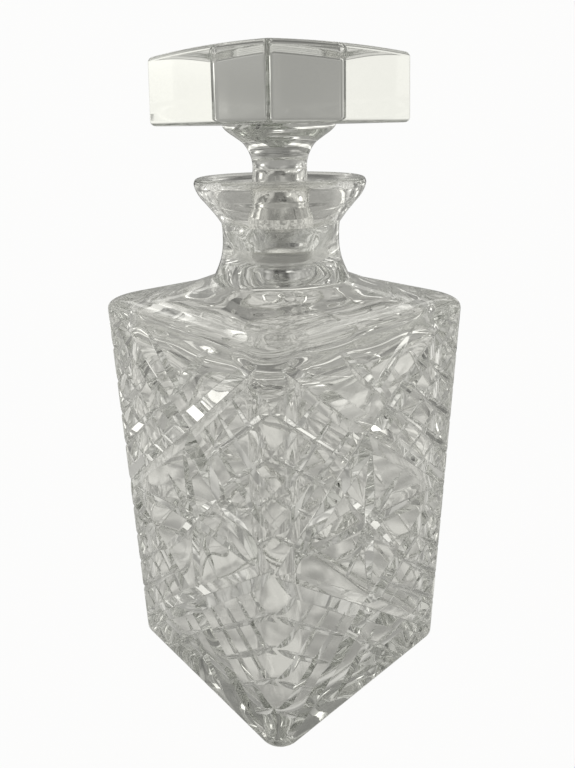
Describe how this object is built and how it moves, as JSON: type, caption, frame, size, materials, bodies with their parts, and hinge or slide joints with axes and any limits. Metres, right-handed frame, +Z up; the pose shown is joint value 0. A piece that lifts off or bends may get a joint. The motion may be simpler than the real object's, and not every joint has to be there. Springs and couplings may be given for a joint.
{
  "type": "liquor decanter",
  "caption": "Square cut-glass liquor decanter with mitre-cut diamond panels, a flared pouring lip and a loose square block stopper on a ground peg.",
  "frame": {"origin": "centre of the flat base, on the surface that the decanter stands on", "axes": "+Z up along the neck's axis; the square body's flat sides face +X, -X, +Y and -Y"},
  "size_m": [0.0924, 0.0924, 0.2217],
  "materials": {
    "body_glass": "clear cut crystal, polished mitre cuts",
    "stopper_glass": "clear polished crystal with a fine-ground peg"
  },
  "bodies": {
    "bottle": {"decanter_body": "body_glass"},
    "stopper": {"stopper": "stopper_glass"}
  },
  "joints": [
    {"name": "stopper_lift", "type": "slide", "parent": "bottle", "child": "stopper", "axis": [0, 0, 1], "range_m": [0, 0.06]}
  ]
}
